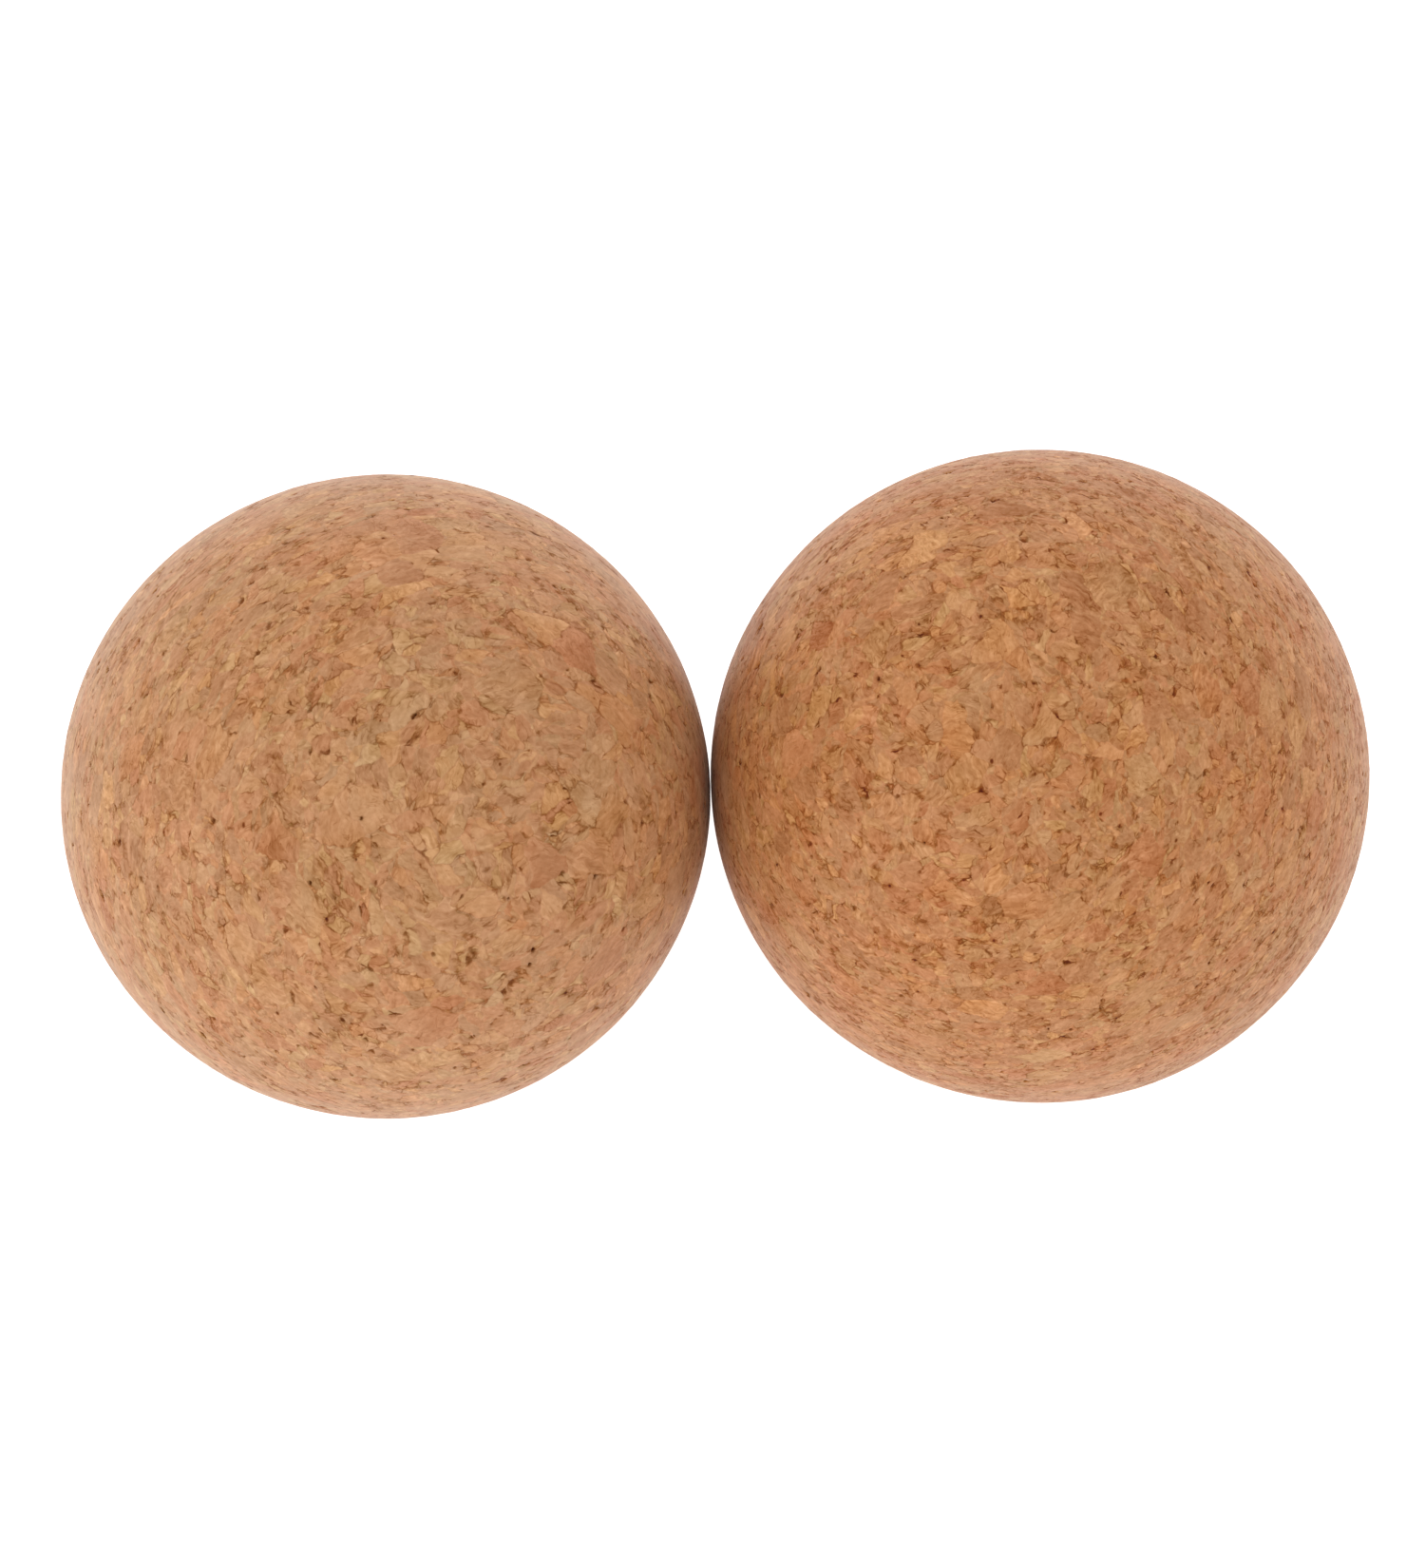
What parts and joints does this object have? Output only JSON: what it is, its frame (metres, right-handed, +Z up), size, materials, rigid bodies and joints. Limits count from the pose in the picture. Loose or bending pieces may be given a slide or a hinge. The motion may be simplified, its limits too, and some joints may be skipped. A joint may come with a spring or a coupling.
{
  "type": "massage ball",
  "caption": "Solid round massage balls turned from agglomerated cork, lying side by side and touching, for rolling under feet, back and hands.",
  "frame": {"origin": "on the surface that both balls lie on, at the middle of the pair's bounding box", "axes": "+X from the left ball to the right ball, +Y away from the viewer, +Z up"},
  "size_m": [0.131, 0.066, 0.066],
  "materials": {
    "left_cork": "sanded agglomerated cork, matte, bare",
    "right_cork": "sanded agglomerated cork, matte, bare"
  },
  "bodies": {
    "left_ball": {"left_ball": "left_cork"},
    "right_ball": {"right_ball": "right_cork"}
  },
  "joints": [
    {"name": "roll_apart", "type": "slide", "parent": "left_ball", "child": "right_ball", "axis": [1, 0, 0], "range_m": [0, 0.1]}
  ]
}
